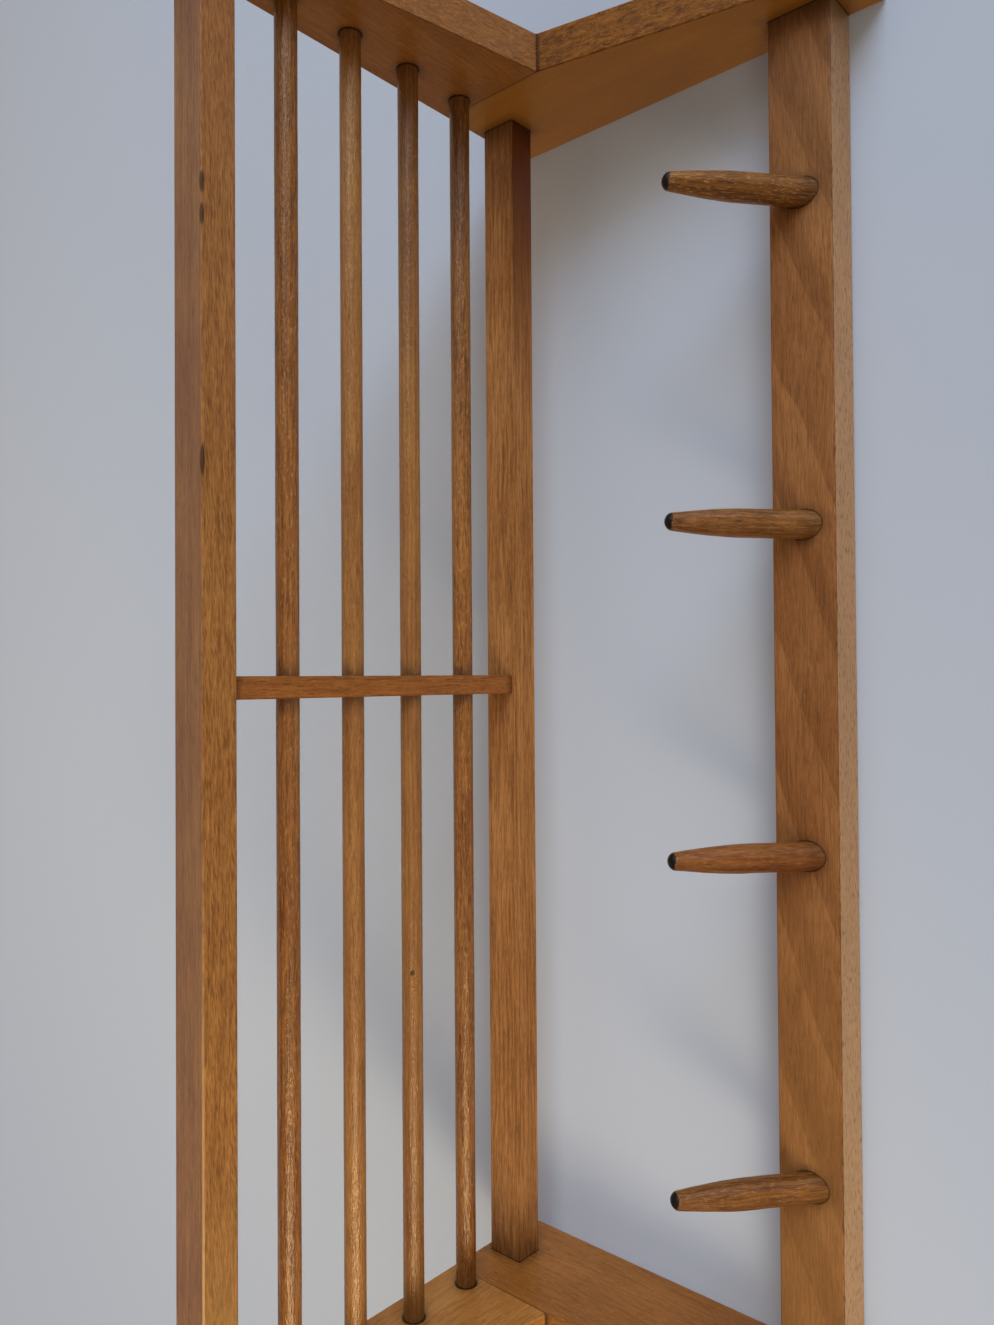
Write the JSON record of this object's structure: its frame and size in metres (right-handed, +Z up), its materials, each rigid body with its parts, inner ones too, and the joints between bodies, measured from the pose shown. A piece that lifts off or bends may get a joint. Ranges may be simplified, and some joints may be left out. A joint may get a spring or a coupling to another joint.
{
  "type": "wall coat rack",
  "caption": "Wooden wall coat rack: tapered end frames carry a hat shelf of round rods above a rail of rising turned pegs, hung by keyhole plates.",
  "frame": {"origin": "on the wall plane, midway between the round entries of the two keyhole plates in the backs of the wall arms", "axes": "+X along the wall to the right as seen from the room, +Y into the wall, +Z up"},
  "size_m": [0.8, 0.3, 0.26],
  "materials": {
    "arm_beech": "aged satin varnish",
    "rail_beech": "aged satin varnish",
    "batten_beech": "aged satin varnish",
    "rod_beech": "aged satin varnish, worn along the top",
    "peg_beech": "aged satin varnish, dark stained tips",
    "plated_steel": "dull plated",
    "screw_steel": "dull plated",
    "pin_beech": "raw"
  },
  "bodies": {
    "root": {"wall_arm_left": "arm_beech", "wall_arm_right": "arm_beech", "shelf_arm_left": "arm_beech", "shelf_arm_right": "arm_beech", "front_rail": "rail_beech", "back_rail": "rail_beech", "peg_rail": "rail_beech", "centre_batten": "batten_beech", "shelf_rod_1": "rod_beech", "shelf_rod_2": "rod_beech", "shelf_rod_3": "rod_beech", "shelf_rod_4": "rod_beech", "coat_peg_1": "peg_beech", "coat_peg_2": "peg_beech", "coat_peg_3": "peg_beech", "coat_peg_4": "peg_beech", "hanger_plate_left": "plated_steel", "hanger_plate_right": "plated_steel", "hanger_screws": "screw_steel", "corner_pins": "pin_beech", "front_rail_pins": "pin_beech", "back_rail_pins": "pin_beech", "peg_rail_pins": "pin_beech"}
  },
  "joints": []
}
